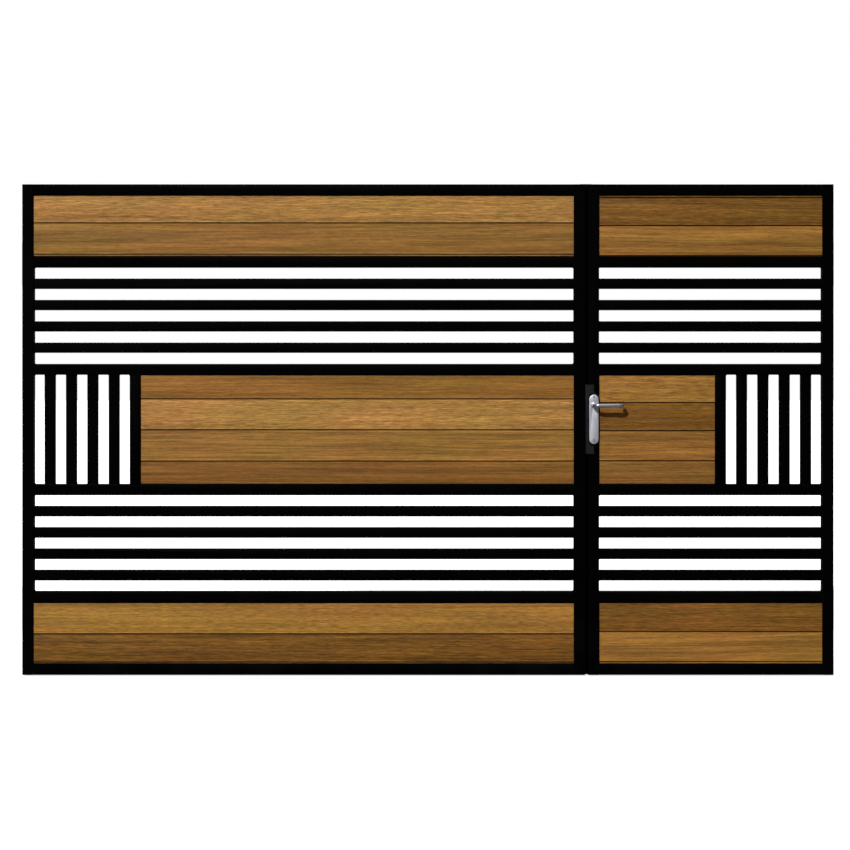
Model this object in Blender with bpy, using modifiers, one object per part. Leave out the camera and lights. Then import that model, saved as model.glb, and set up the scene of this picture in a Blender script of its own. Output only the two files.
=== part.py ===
"""Double-leaf driveway gate: one wide and one narrow leaf of welded square tube.

Each leaf holds two horizontal bands of tongue-and-groove boards, a middle band of
boards beside a group of upright slats, and two open fields of level slats.
Metres. X runs along the gate, Y to its rear (the side it opens to) and Z up.
The origin is at the middle of the opening, level with the lowest point of the gate,
the foot of the strip that covers the gap between the leaves.
"""

import math
from collections import namedtuple

import bmesh
import bpy
from mathutils import Matrix, Vector

# ---- clearances ----
GAP = 0.0003               # between faces that touch
BOARD_PLAY = 0.001         # room for the boards to swell, on every side
RUNNING = 0.0004           # radial play of a pin or rod in its hole

# ---- the opening and the two leaves ----
OPENING_WIDTH = 3.000      # from post to post
POST_CLEARANCE = 0.012     # from each post to its leaf
LEAF_GAP = 0.012           # between the closed leaves
NARROW_LEAF = 0.900        # the right leaf, which carries the lock
TUBE = 0.040               # square frame tube
TUBE_WALL = 0.0025
BAND_HEIGHT = 0.225        # top and bottom board bands
FIELD_HEIGHT = 0.354       # the open fields of level slats
MIDDLE_HEIGHT = 0.402      # the middle band
SIDE_FIELD = 0.354         # width of the field of upright slats

# ---- slats ----
SLAT_COUNT = 4             # in each field
SLAT_WIDTH = 0.038
SLAT_DEPTH = 0.025
SLAT_WALL = 0.002
TIE_THICKNESS = 0.004      # strip inside the frame tube that joins the slats' ends
TIE_SETBACK = 0.001        # from the tube's wall to that strip

# ---- boards ----
BOARD_THICKNESS = 0.020
BOARD_RECESS = 0.005       # from the leaf's front face back to the boards
TONGUE_LENGTH = 0.006
TONGUE_THICKNESS = 0.006
CHAMFER = 0.0020           # half of the V between two boards
# each band's joints and V grooves, as heights above its lower edge, and its boards'
# tones, from the lowest up
Band = namedtuple("Band", "joints grooves tones")
BANDS = {
    ("left", "top"): Band((0.1236,), (0.0084,), ("medium", "light")),
    ("left", "middle"): Band((0.0854, 0.2004, 0.3136), (), ("dark", "medium", "light", "medium")),
    ("left", "bottom"): Band((0.1105,), (0.0066,), ("dark", "light")),
    ("right", "top"): Band((0.1137,), (0.0038, 0.2166), ("medium", "dark")),
    ("right", "middle"): Band((0.0865, 0.1974, 0.3004), (), ("dark", "medium", "dark", "light")),
    ("right", "bottom"): Band((0.1188,), (0.0082,), ("medium", "dark")),
}

# ---- hinges ----
PIN_RADIUS = 0.008
PIN_AXIS_INSET = 0.038     # from the post's face to the pin's axis
PIN_STANDOFF = 0.028       # from the leaf's rear face to the pin's axis
BRACKET_PLATE = 0.008
BRACKET_WIDTH = 0.040
BRACKET_SHIFT = 0.009      # from the pin's axis back to the middle of the plate
BRACKET_HEIGHT = 0.160
BRACKET_HOLE_RADIUS = 0.0055
BRACKET_HOLE_EDGE = 0.020  # from the plate's ends to a hole's axis
BRACKET_ARM = 0.016        # thickness of the arm under the eye
BRACKET_ARM_HALF = 0.0105  # half of the arm's width
PIN_TOP = 0.010            # pin standing above the eye
EYE_RADIUS = 0.0145
EYE_HEIGHT = 0.044
EYE_WEB = 0.012
EYE_PLATE_THICKNESS = 0.006
EYE_PLATE_WIDTH = 0.034
EYE_PLATE_HEIGHT = 0.060
HINGE_COVER = 0.006        # a hinge's end lies at least this far behind its rail or band

# ---- strip that covers the gap between the leaves, at the rear ----
STRIP_WIDTH = 0.040
STRIP_THICKNESS = 0.004
STRIP_BEYOND = 0.004       # past the leaf, at its top and at its bottom

# ---- lock ----
HANDLE_HEIGHT = 0.990      # handle axis above the bottom of the leaf
SPINDLE_INSET = 0.0203     # from the leaf's edge to the handle axis
CASE_DROP = 0.052          # from the handle axis down to the middle of the case
CASE_HEIGHT = 0.254
CASE_WIDTH = 0.021         # of the full-depth block, from the leaf's edge
CASE_PROUD = 0.009         # how far the lock stands into the gap between the leaves
CASE_WALL = 0.0025
CASE_SIDE_WALL = 0.0030
FACEPLATE = 0.003
STRIKE_WIDTH = 0.024
STRIKE_HOLE_PLAY = 0.0012

# ---- latch and its follower ----
HANDLE_TURN = math.radians(40.0)
ARM_LENGTH = 0.016         # from the handle axis to the middle of the arm's round tip
ARM_HALF_WIDTH = 0.0025
ARM_HALF_DEPTH = 0.005
ARM_PLAY = 0.0006
LATCH_THROW = 0.010        # latch standing out of the faceplate at rest
LATCH_BOTTOM = 0.010       # above the handle axis
LATCH_HEIGHT = 0.022
LATCH_DEPTH = 0.014
LATCH_BEVEL = 0.010
LATCH_NOSE = 0.004         # flat left on the latch's nose
SHOULDER = 0.0025
HUB_RADIUS = 0.009
SPINDLE_SIDE = 0.008
SPINDLE_PLAY = 0.0003

# ---- handle ----
BACKPLATE_WIDTH = 0.034
BACKPLATE_HEIGHT = 0.181
BACKPLATE_THICKNESS = 0.008
BACKPLATE_STANDOFF = 0.002  # room for the thin gasket under the plate
LEVER_RADIUS = 0.0075
LEVER_BEND = 0.014
LEVER_STANDOFF = 0.050     # from the leaf's face to the grip's axis
LEVER_LENGTH = 0.1010      # from the handle axis to the axis of the returned end
LEVER_RETURN = 0.022       # from the leaf's face to the returned end's tip
SOCKET_DEPTH = 0.016

# ---- drop bolt ----
ROD_RADIUS = 0.007
ROD_BOTTOM = 0.020
ROD_SLAT = 2               # the lower field's slat that hides the grip, counted from 0
ROD_BEND = 0.014
ROD_GRIP = 0.075
ROD_STANDOFF = 0.014       # from the leaf's rear face to the rod's axis
GUIDE_WIDTH = 0.021
GUIDE_PLATE = 0.003
GUIDE_BOTTOM = 0.130
GUIDE_HEIGHT = 0.220
STAPLE_HEIGHT = 0.020
STAPLE_WALL = 0.005
GUIDE_STRIP_GAP = 0.0035   # from the guide to the strip beside it

# ---- worked out from the values above ----
LEAF_BOTTOM = STRIP_BEYOND
RAIL_BOTTOMS = [LEAF_BOTTOM]
for clear_height in (BAND_HEIGHT, FIELD_HEIGHT, MIDDLE_HEIGHT, FIELD_HEIGHT, BAND_HEIGHT):
    RAIL_BOTTOMS.append(RAIL_BOTTOMS[-1] + TUBE + clear_height)
LEAF_TOP = RAIL_BOTTOMS[-1] + TUBE
LOCK_HEIGHT = LEAF_BOTTOM + HANDLE_HEIGHT
HALF_OPENING = OPENING_WIDTH / 2
HALF_TUBE = TUBE / 2
HALF_SLAT = SLAT_DEPTH / 2
BOARD_Y = -HALF_TUBE + BOARD_RECESS + BOARD_THICKNESS / 2
PIN_AXIS_REAR = HALF_TUBE + PIN_STANDOFF
ROD_REAR = HALF_TUBE + ROD_STANDOFF
WIDE_LEAF = OPENING_WIDTH - 2 * POST_CLEARANCE - LEAF_GAP - NARROW_LEAF
PIN_X = HALF_OPENING - PIN_AXIS_INSET
NARROW_EDGE = HALF_OPENING - POST_CLEARANCE - NARROW_LEAF
WIDE_EDGE = NARROW_EDGE - LEAF_GAP
SPINDLE_X = NARROW_EDGE + SPINDLE_INSET
CASE_MIDDLE = LOCK_HEIGHT - CASE_DROP
CASE_LOW = CASE_MIDDLE - CASE_HEIGHT / 2
CASE_HIGH = CASE_MIDDLE + CASE_HEIGHT / 2
FACEPLATE_X = NARROW_EDGE - CASE_PROUD
STRIP_LEFT = (WIDE_EDGE + NARROW_EDGE) / 2 - STRIP_WIDTH / 2
GUIDE_RIGHT = STRIP_LEFT - GUIDE_STRIP_GAP
ROD_X = GUIDE_RIGHT - GUIDE_WIDTH / 2

# inward is the way along X from the hinge stile to the meeting stile
Leaf = namedtuple("Leaf", "name inward width")
WIDE = Leaf("left", 1, WIDE_LEAF)
NARROW = Leaf("right", -1, NARROW_LEAF)


# ---------------------------------------------------------------- helpers


def clear_scene():
    """Start from an empty scene."""
    for item in list(bpy.data.objects):
        bpy.data.objects.remove(item, do_unlink=True)
    for group in list(bpy.data.collections):
        bpy.data.collections.remove(group)
    for finish in list(bpy.data.materials):
        bpy.data.materials.remove(finish)


def make_collection(name):
    """A new collection in the scene."""
    group = bpy.data.collections.new(name)
    bpy.context.scene.collection.children.link(group)
    return group


def make_material(name, colour, roughness, metallic):
    """A plain Principled finish."""
    finish = bpy.data.materials.new(name)
    finish.use_nodes = True
    shader = finish.node_tree.nodes["Principled BSDF"]
    shader.inputs["Base Color"].default_value = (*colour, 1.0)
    shader.inputs["Roughness"].default_value = roughness
    shader.inputs["Metallic"].default_value = metallic
    finish.diffuse_color = (*colour, 1.0)
    return finish


def move_to(item, group):
    """Put an object in one collection only."""
    for owner in list(item.users_collection):
        owner.objects.unlink(item)
    group.objects.link(item)


def make_box(name, low, high):
    """A box between two corners, with its origin at its middle."""
    centre = (Vector(low) + Vector(high)) / 2
    size = Vector(high) - Vector(low)
    bpy.ops.mesh.primitive_cube_add(size=1.0, location=centre)
    item = bpy.context.active_object
    item.name = name
    item.data.transform(Matrix.Diagonal((*size, 1.0)))
    return item


def make_cylinder(name, centre, radius, length, axis="Z", sides=32):
    """A cylinder about its centre, along X, Y or Z."""
    turns = {"X": (0, math.pi / 2, 0), "Y": (math.pi / 2, 0, 0), "Z": (0, 0, 0)}
    bpy.ops.mesh.primitive_cylinder_add(
        vertices=sides, radius=radius, depth=length, location=centre, rotation=turns[axis]
    )
    item = bpy.context.active_object
    item.name = name
    return item


def as_cutter(item):
    """Keep an object as a helper for a Boolean."""
    item.hide_render = True
    item.display_type = "WIRE"
    move_to(item, CUTTERS)
    return item


def box_cutter(name, spans):
    """One cutter made of several boxes that stay apart; spans are pairs of corners."""
    shell = bmesh.new()
    for low, high in spans:
        centre = (Vector(low) + Vector(high)) / 2
        size = Vector(high) - Vector(low)
        place = Matrix.Translation(centre) @ Matrix.Diagonal((*size, 1.0))
        bmesh.ops.create_cube(shell, size=1.0, matrix=place)
    mesh = bpy.data.meshes.new(name)
    shell.to_mesh(mesh)
    shell.free()
    item = bpy.data.objects.new(name, mesh)
    bpy.context.scene.collection.objects.link(item)
    return as_cutter(item)


def boolean(item, other, operation):
    """Cut an object by a helper, or join the helper to it."""
    step = item.modifiers.new(other.name, "BOOLEAN")
    step.operation = operation
    step.solver = "EXACT"
    step.object = other


def cut(item, cutter):
    boolean(item, cutter, "DIFFERENCE")


def join(item, piece):
    boolean(item, as_cutter(piece), "UNION")


def bevel(item, width, segments=2, angle=40.0):
    """Round the edges that turn more than the angle."""
    step = item.modifiers.new("bevel", "BEVEL")
    step.width = width
    step.segments = segments
    step.limit_method = "ANGLE"
    step.angle_limit = math.radians(angle)


def smooth(item, angle=35.0):
    """Shade a round piece smooth, with its sharp edges kept."""
    item.data.shade_smooth()
    item.data.set_sharp_from_angle(angle=math.radians(angle))


def curve_to_mesh(curve_object):
    """Replace a filled or bevelled curve by the closed mesh of its surface."""
    bpy.context.view_layer.update()
    evaluated = curve_object.evaluated_get(bpy.context.evaluated_depsgraph_get())
    mesh = bpy.data.meshes.new_from_object(evaluated)
    shell = bmesh.new()
    shell.from_mesh(mesh)
    bmesh.ops.remove_doubles(shell, verts=shell.verts, dist=0.000005)
    bmesh.ops.recalc_face_normals(shell, faces=shell.faces)
    shell.to_mesh(mesh)
    shell.free()
    item = bpy.data.objects.new(curve_object.name, mesh)
    item.matrix_world = curve_object.matrix_world.copy()
    name = curve_object.name
    bpy.data.objects.remove(curve_object, do_unlink=True)
    item.name = name
    bpy.context.scene.collection.objects.link(item)
    return item


def make_outline(name, loops, thickness, centre, rotation=(0, 0, 0)):
    """A flat outline, with any further loops as holes, thickened about its plane."""
    curve = bpy.data.curves.new(name, "CURVE")
    curve.dimensions = "2D"
    curve.fill_mode = "BOTH"
    curve.extrude = thickness / 2
    for points in loops:
        spline = curve.splines.new("POLY")
        spline.points.add(len(points) - 1)
        for target, (x, y) in zip(spline.points, points):
            target.co = (x, y, 0, 1)
        spline.use_cyclic_u = True
    item = bpy.data.objects.new(name, curve)
    item.location = centre
    item.rotation_euler = rotation
    bpy.context.scene.collection.objects.link(item)
    return curve_to_mesh(item)


def make_rod(name, route, radius, sides=16):
    """A round bar along a route of points, each with its share of the radius."""
    curve = bpy.data.curves.new(name, "CURVE")
    curve.dimensions = "3D"
    curve.bevel_depth = radius
    curve.bevel_resolution = sides // 4 - 1
    curve.use_fill_caps = True
    spline = curve.splines.new("POLY")
    spline.points.add(len(route) - 1)
    for target, (place, share) in zip(spline.points, route):
        target.co = (*place, 1)
        target.radius = share
    item = bpy.data.objects.new(name, curve)
    bpy.context.scene.collection.objects.link(item)
    return curve_to_mesh(item)


def arc(centre, radius, start, end, steps):
    """Points on an arc from start to end degrees, both ends included."""
    points = []
    for index in range(steps + 1):
        angle = math.radians(start + (end - start) * index / steps)
        x = centre[0] + radius * math.cos(angle)
        y = centre[1] + radius * math.sin(angle)
        points.append((x, y))
    return points


def circle(centre, radius, sides=32):
    """Points round a whole circle."""
    return arc(centre, radius, 0, 360 - 360 / sides, sides - 1)


def finish_part(item, finish, pivot):
    """Name a part's mesh, give it its finish and hang it from its pivot."""
    item.data.name = item.name
    item.data.materials.clear()
    item.data.materials.append(finish)
    move_to(item, GATE)
    item.parent = pivot
    item.matrix_parent_inverse = Matrix.Translation(-pivot.location)
    return item


def make_pivot(name, place):
    """An empty on a joint's axis."""
    pivot = bpy.data.objects.new(name, None)
    pivot.location = place
    pivot.empty_display_size = 0.1
    GATE.objects.link(pivot)
    return pivot


# ---------------------------------------------------------------- leaf layout


def along(leaf, start, end):
    """The span along X between two distances from a leaf's hinge edge."""
    hinge_edge = -leaf.inward * (HALF_OPENING - POST_CLEARANCE)
    ends = (hinge_edge + leaf.inward * start, hinge_edge + leaf.inward * end)
    return min(ends), max(ends)


def slat_starts(low, high):
    """Where each slat of a field starts, with equal spaces all through."""
    space = (high - low - SLAT_COUNT * SLAT_WIDTH) / (SLAT_COUNT + 1)
    return [low + space + index * (space + SLAT_WIDTH) for index in range(SLAT_COUNT)]


def field_below(rail):
    """The height span between a rail and the one above it."""
    return RAIL_BOTTOMS[rail] + TUBE, RAIL_BOTTOMS[rail + 1]


def make_tube(name, low, high, axis, closed_end=False):
    """Square tube along an axis, open at its ends or closed at its far end."""
    item = make_box(name, low, high)
    bore_low = [value + TUBE_WALL for value in low]
    bore_high = [value - TUBE_WALL for value in high]
    bore_low[axis] = low[axis] - TUBE
    if not closed_end:
        bore_high[axis] = high[axis] + TUBE
    cut(item, box_cutter(name + "_bore", [(bore_low, bore_high)]))
    return item


def slat_slots(name, leaf, inner_face, towards):
    """Slots in a stile's wall for the level slats of both fields."""
    spans = []
    ends = sorted((inner_face - towards * HALF_TUBE, inner_face + towards * HALF_TUBE))
    half = HALF_SLAT + GAP
    for rail in (1, 3):
        for start in slat_starts(*field_below(rail)):
            low = (ends[0], -half, start - GAP)
            high = (ends[1], half, start + SLAT_WIDTH + GAP)
            spans.append((low, high))
    return box_cutter(name + "_" + leaf.name, spans)


def make_stiles(leaf, pivot):
    """The two upright tubes of a leaf, slotted for the level slats."""
    places = {"hinge_stile": (0, TUBE), "meeting_stile": (leaf.width - TUBE, leaf.width)}
    made = []
    for part, ends in places.items():
        left, right = along(leaf, *ends)
        name = leaf.name + "_" + part
        item = make_tube(
            name,
            (left, -HALF_TUBE, LEAF_BOTTOM),
            (right, HALF_TUBE, LEAF_TOP),
            2,
            closed_end=True,
        )
        faces_right = (part == "hinge_stile") == (leaf.inward > 0)
        inner_face = right if faces_right else left
        cut(item, slat_slots(part + "_slots", leaf, inner_face, 1 if faces_right else -1))
        finish_part(item, FRAME_PAINT, pivot)
        made.append(item)
    return made


def make_rails(leaf, pivot):
    """The six level tubes of a leaf; two of them are slotted for the upright slats."""
    left, right = along(leaf, TUBE + GAP, leaf.width - TUBE - GAP)
    side_left, side_right = along(leaf, TUBE, TUBE + SIDE_FIELD)
    half = HALF_SLAT + GAP
    names = ["bottom_rail", "inner_rail_1", "inner_rail_2", "inner_rail_3", "inner_rail_4", "top_rail"]
    for index, part in enumerate(names):
        bottom = RAIL_BOTTOMS[index]
        name = leaf.name + "_" + part
        item = make_tube(name, (left, -HALF_TUBE, bottom), (right, HALF_TUBE, bottom + TUBE), 0)
        if index in (2, 3):
            face = bottom + TUBE if index == 2 else bottom
            spans = []
            for start in slat_starts(side_left, side_right):
                low = (start - GAP, -half, face - HALF_TUBE)
                high = (start + SLAT_WIDTH + GAP, half, face + HALF_TUBE)
                spans.append((low, high))
            cut(item, box_cutter(name + "_slots", spans))
        finish_part(item, FRAME_PAINT, pivot)


def make_mullion(leaf, pivot):
    """The short upright tube between the upright slats and the middle boards."""
    left, right = along(leaf, TUBE + SIDE_FIELD, 2 * TUBE + SIDE_FIELD)
    bottom, top = field_below(2)
    low = (left, -HALF_TUBE, bottom + GAP)
    high = (right, HALF_TUBE, top - GAP)
    item = make_tube(leaf.name + "_mullion", low, high, 2)
    finish_part(item, FRAME_PAINT, pivot)


def make_slats(name, length_span, field, level, pivot):
    """A field's hollow slats, joined by the tie strips that lie inside the frame tubes.

    length_span is the clear length between the tubes, and field is the clear span
    that the slats share. The group is cut from one slab.
    """
    hidden = TUBE_WALL + TIE_SETBACK
    ends = (length_span[0] - hidden - TIE_THICKNESS, length_span[1] + hidden + TIE_THICKNESS)
    starts = slat_starts(*field)
    stack = (starts[0], starts[-1] + SLAT_WIDTH)

    def corner(length, across, depth):
        return (length, depth, across) if level else (across, depth, length)

    slab = make_box(
        name, corner(ends[0], stack[0], -HALF_SLAT), corner(ends[1], stack[1], HALF_SLAT)
    )
    spaces = []
    bores = []
    inner_ends = (length_span[0] - hidden, length_span[1] + hidden)
    for index, start in enumerate(starts):
        low = corner(ends[0] - TUBE, start + SLAT_WALL, -HALF_SLAT + SLAT_WALL)
        high = corner(ends[1] + TUBE, start + SLAT_WIDTH - SLAT_WALL, HALF_SLAT - SLAT_WALL)
        bores.append((low, high))
        if index:
            below = starts[index - 1] + SLAT_WIDTH
            low = corner(inner_ends[0], below, -TUBE)
            high = corner(inner_ends[1], start, TUBE)
            spaces.append((low, high))
    cut(slab, box_cutter(name + "_spaces", spaces))
    cut(slab, box_cutter(name + "_bores", bores))
    finish_part(slab, FRAME_PAINT, pivot)


def make_slat_fields(leaf, pivot):
    """Two fields of level slats and one of upright slats."""
    clear = along(leaf, TUBE, leaf.width - TUBE)
    make_slats(leaf.name + "_lower_slats", clear, field_below(1), True, pivot)
    make_slats(leaf.name + "_upper_slats", clear, field_below(3), True, pivot)
    side = along(leaf, TUBE, TUBE + SIDE_FIELD)
    make_slats(leaf.name + "_side_slats", field_below(2), side, False, pivot)


# ---------------------------------------------------------------- boards


def groove_points(side, height):
    """The V cut into a board's face at a height; side is +1 or -1 for the two faces."""
    face = side * BOARD_THICKNESS / 2
    bottom = face - side * CHAMFER
    points = [(face, height - CHAMFER), (bottom, height), (face, height + CHAMFER)]
    return points


def board_outline(low, high, tongue, groove_slot, grooves):
    """Cross-section of a board: X is its depth and Y its height."""
    half = BOARD_THICKNESS / 2
    right = []
    left = []
    if tongue:
        right.append((TONGUE_THICKNESS / 2, low - TONGUE_LENGTH))
        right.append((TONGUE_THICKNESS / 2, low))
        left.append((-TONGUE_THICKNESS / 2, low - TONGUE_LENGTH))
        left.append((-TONGUE_THICKNESS / 2, low))
    right.append((half - CHAMFER, low))
    right.append((half, low + CHAMFER))
    left.append((-half + CHAMFER, low))
    left.append((-half, low + CHAMFER))
    for height in sorted(grooves):
        right.extend(groove_points(1, height))
        left.extend(groove_points(-1, height))
    right.append((half, high - CHAMFER))
    right.append((half - CHAMFER, high))
    left.append((-half, high - CHAMFER))
    left.append((-half + CHAMFER, high))
    if groove_slot:
        slot = TONGUE_THICKNESS / 2 + GAP
        depth = TONGUE_LENGTH + GAP
        right.append((slot, high))
        right.append((slot, high - depth))
        left.append((-slot, high))
        left.append((-slot, high - depth))
    return right + left[::-1]


def make_boards(name, band, span, heights, pivot):
    """The boards of one band, from the lowest up, each tongued into the one below."""
    left, right = span
    bottom, top = heights
    edges = [BOARD_PLAY] + list(band.joints) + [top - bottom - BOARD_PLAY]
    length = right - left - 2 * BOARD_PLAY
    for index in range(len(edges) - 1):
        first = index == 0
        last = index == len(edges) - 2
        low = bottom + edges[index] + (0 if first else GAP / 2)
        high = bottom + edges[index + 1] - (0 if last else GAP / 2)
        inside = [bottom + value for value in band.grooves]
        inside = [value for value in inside if low < value < high]
        outline = board_outline(low, high, not first, not last, inside)
        item = make_outline(
            name + "_" + str(index + 1),
            [outline],
            length,
            ((left + right) / 2, BOARD_Y, 0),
            (math.pi / 2, 0, math.pi / 2),
        )
        finish_part(item, BOARD_TONES[band.tones[index]], pivot)


def make_leaf_boards(leaf, pivot):
    """The top, middle and bottom bands of boards in a leaf."""
    clear = along(leaf, TUBE, leaf.width - TUBE)
    beside_slats = along(leaf, 2 * TUBE + SIDE_FIELD, leaf.width - TUBE)
    plans = (
        ("top", clear, field_below(4)),
        ("middle", beside_slats, field_below(2)),
        ("bottom", clear, field_below(0)),
    )
    for place, span, heights in plans:
        name = leaf.name + "_" + place + "_board"
        make_boards(name, BANDS[leaf.name, place], span, heights, pivot)


# ---------------------------------------------------------------- hinges


def hinge_outline(reach, radius, half_width):
    """An arm from X = reach to the origin, with a round end about the origin."""
    side = 1 if reach > 0 else -1
    swing = math.degrees(math.asin(half_width / radius))
    start = swing if side > 0 else 180 + swing
    points = [(reach, -side * half_width), (reach, side * half_width)]
    points += arc((0, 0), radius, start, start + 360 - 2 * swing, 24)
    return points


def make_bracket(name, side, middle, pivot):
    """A post bracket: a plate with two holes, an arm and an upright pin.

    side is +1 for the right post. middle is the height of the eye's middle.
    """
    pin_x = side * PIN_X
    post_x = side * HALF_OPENING
    plate_x = post_x - side * BRACKET_PLATE
    arm_top = middle - EYE_HEIGHT / 2 - GAP
    arm_bottom = arm_top - BRACKET_ARM
    plate_low = arm_bottom + BRACKET_ARM / 2 - BRACKET_HEIGHT / 2
    ends = sorted((plate_x, post_x))
    half = BRACKET_WIDTH / 2
    plate_y = PIN_AXIS_REAR + BRACKET_SHIFT
    plate = make_box(
        name,
        (ends[0], plate_y - half, plate_low),
        (ends[1], plate_y + half, plate_low + BRACKET_HEIGHT),
    )
    arm = make_outline(
        name + "_arm",
        [hinge_outline(plate_x - pin_x + side * BRACKET_PLATE / 2, EYE_RADIUS, BRACKET_ARM_HALF)],
        BRACKET_ARM,
        (pin_x, PIN_AXIS_REAR, (arm_top + arm_bottom) / 2),
    )
    join(plate, arm)
    pin_bottom = arm_bottom + BRACKET_ARM / 2
    pin_high = middle + EYE_HEIGHT / 2 + PIN_TOP
    pin = make_cylinder(
        name + "_pin",
        (pin_x, PIN_AXIS_REAR, (pin_bottom + pin_high) / 2),
        PIN_RADIUS,
        pin_high - pin_bottom,
    )
    bevel(pin, PIN_RADIUS / 5, segments=1)
    join(plate, pin)
    for up in (BRACKET_HOLE_EDGE, BRACKET_HEIGHT - BRACKET_HOLE_EDGE):
        hole = make_cylinder(
            name + "_hole",
            ((plate_x + post_x) / 2, plate_y, plate_low + up),
            BRACKET_HOLE_RADIUS,
            4 * BRACKET_PLATE,
            axis="X",
            sides=20,
        )
        cut(plate, as_cutter(hole))
    smooth(plate)
    finish_part(plate, HINGE_PAINT, pivot)


def make_eye(name, side, middle, pivot):
    """The leaf's hinge eye: a barrel on a web and a plate on the stile's rear face."""
    pin_x = side * PIN_X
    plate_rear = HALF_TUBE + GAP + EYE_PLATE_THICKNESS
    outer = side * (HALF_OPENING - POST_CLEARANCE) - side * (TUBE - EYE_PLATE_WIDTH) / 2
    ends = sorted((outer, outer - side * EYE_PLATE_WIDTH))
    plate = make_box(
        name,
        (ends[0], HALF_TUBE + GAP, middle - EYE_PLATE_HEIGHT / 2),
        (ends[1], plate_rear, middle + EYE_PLATE_HEIGHT / 2),
    )
    web_start = PIN_AXIS_REAR - HALF_TUBE - GAP - EYE_PLATE_THICKNESS / 2
    barrel = make_outline(
        name + "_barrel",
        [
            hinge_outline(web_start, EYE_RADIUS, EYE_WEB / 2),
            circle((0, 0), PIN_RADIUS + RUNNING),
        ],
        EYE_HEIGHT,
        (pin_x, PIN_AXIS_REAR, middle),
        (0, 0, -math.pi / 2),
    )
    join(plate, barrel)
    smooth(plate)
    finish_part(plate, HINGE_PAINT, pivot)


def make_hinges(leaf, pivot, posts):
    """Two hinges for a leaf, hidden from the front behind its rails and board bands."""
    side = -leaf.inward
    band_top = RAIL_BOTTOMS[1] + TUBE
    lower = band_top - HINGE_COVER - PIN_TOP - EYE_HEIGHT / 2
    upper = RAIL_BOTTOMS[4] + HINGE_COVER + GAP + BRACKET_ARM + EYE_HEIGHT / 2
    for label, middle in (("lower", lower), ("upper", upper)):
        make_bracket(leaf.name + "_" + label + "_hinge_bracket", side, middle, posts)
        make_eye(leaf.name + "_" + label + "_hinge_eye", side, middle, pivot)


# ---------------------------------------------------------------- meeting edge


def make_meeting_strip(pivot):
    """Flat bar on the narrow leaf that covers the gap at the rear."""
    front = HALF_TUBE + GAP
    item = make_box(
        "meeting_strip",
        (STRIP_LEFT, front, LEAF_BOTTOM - STRIP_BEYOND),
        (STRIP_LEFT + STRIP_WIDTH, front + STRIP_THICKNESS, LEAF_TOP + STRIP_BEYOND),
    )
    margin = BACKPLATE_STANDOFF + BACKPLATE_THICKNESS
    left = SPINDLE_X - BACKPLATE_WIDTH / 2 - BACKPLATE_STANDOFF
    recess = (
        (left, 0, CASE_MIDDLE - BACKPLATE_HEIGHT / 2 - margin),
        (SPINDLE_X, TUBE, CASE_MIDDLE + BACKPLATE_HEIGHT / 2 + margin),
    )
    cut(item, box_cutter("meeting_strip_recess", [recess]))
    finish_part(item, FRAME_PAINT, pivot)


def latch_span(x_low, x_high, play):
    """A box around the latch's path between two places along X."""
    half = LATCH_DEPTH / 2 + play
    bottom = LOCK_HEIGHT + LATCH_BOTTOM
    low = (x_low, -half, bottom - play)
    high = (x_high, half, bottom + LATCH_HEIGHT + play)
    return low, high


def make_spindle_hole():
    """Cutter for the spindle's way through the lock and the stile."""
    hole = make_cylinder(
        "spindle_hole",
        (SPINDLE_X, 0, LOCK_HEIGHT),
        SPINDLE_SIDE * math.sqrt(0.5) + RUNNING,
        4 * TUBE,
        axis="Y",
        sides=24,
    )
    return as_cutter(hole)


def cut_lock_recess(stile, spindle_hole):
    """Room for the lock in the narrow leaf's meeting stile."""
    low = (NARROW_EDGE - TUBE, -TUBE, CASE_LOW - GAP)
    high = (NARROW_EDGE + CASE_WIDTH + GAP, TUBE, CASE_HIGH + GAP)
    cut(stile, box_cutter("lock_recess", [(low, high)]))
    cut(stile, spindle_hole)


def cut_strike_recess(stile):
    """Room for the strike plate in the wall of the wide leaf's meeting stile."""
    half = STRIKE_WIDTH / 2 + GAP
    low = (WIDE_EDGE - HALF_TUBE, -half, CASE_LOW - GAP)
    high = (WIDE_EDGE + HALF_TUBE, half, CASE_HIGH + GAP)
    cut(stile, box_cutter("strike_recess", [(low, high)]))


def make_strike_plate(pivot):
    """Strike plate set flush in the wide leaf's meeting stile."""
    item = make_box(
        "strike_plate",
        (WIDE_EDGE - TUBE_WALL, -STRIKE_WIDTH / 2, CASE_LOW),
        (WIDE_EDGE, STRIKE_WIDTH / 2, CASE_HIGH),
    )
    hole = latch_span(WIDE_EDGE - TUBE, WIDE_EDGE + TUBE, STRIKE_HOLE_PLAY)
    cut(item, box_cutter("strike_hole", [hole]))
    finish_part(item, LOCK_PAINT, pivot)


# ---------------------------------------------------------------- lock


def make_faceplate(pivot):
    """The lock's edge plate, with the latch's hole."""
    item = make_box(
        "lock_faceplate",
        (FACEPLATE_X, -HALF_TUBE, CASE_LOW),
        (FACEPLATE_X + FACEPLATE, HALF_TUBE, CASE_HIGH),
    )
    hole = latch_span(FACEPLATE_X - FACEPLATE, FACEPLATE_X + 2 * FACEPLATE, RUNNING)
    cut(item, box_cutter("faceplate_hole", [hole]))
    finish_part(item, LOCK_PAINT, pivot)


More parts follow.
